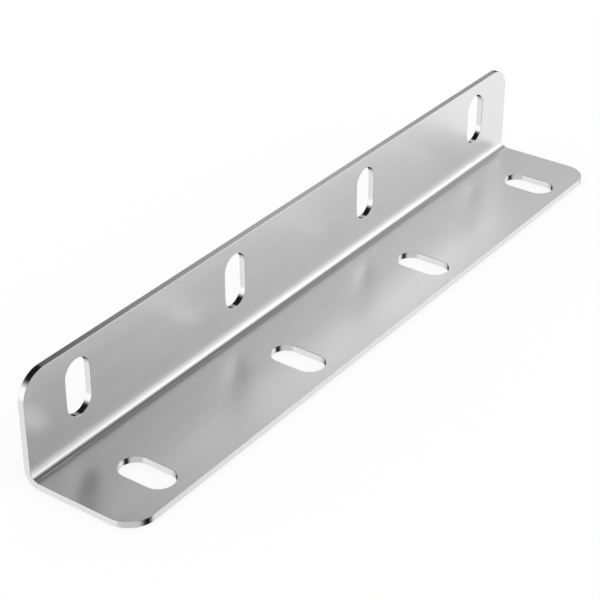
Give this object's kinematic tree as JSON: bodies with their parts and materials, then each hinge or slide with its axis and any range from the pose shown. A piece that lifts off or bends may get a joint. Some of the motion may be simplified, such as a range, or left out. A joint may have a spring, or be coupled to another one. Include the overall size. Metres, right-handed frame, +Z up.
{
  "type": "angle splice plate",
  "caption": "L-shaped splice plate folded from one steel sheet, with rounded corners and a row of slots across each leg, for bolting two profiles end to end.",
  "frame": {"origin": "middle of the plate's length and of its footprint, on the flat leg's underside", "axes": "+X along the bend, +Y across the flat leg towards the upright leg's outer face, +Z up along the upright leg"},
  "size_m": [0.18, 0.0274, 0.0245],
  "materials": {
    "steel": "smooth satin mill finish, with lightly deburred cut edges"
  },
  "bodies": {
    "root": {"splice_plate": "steel"}
  },
  "joints": []
}
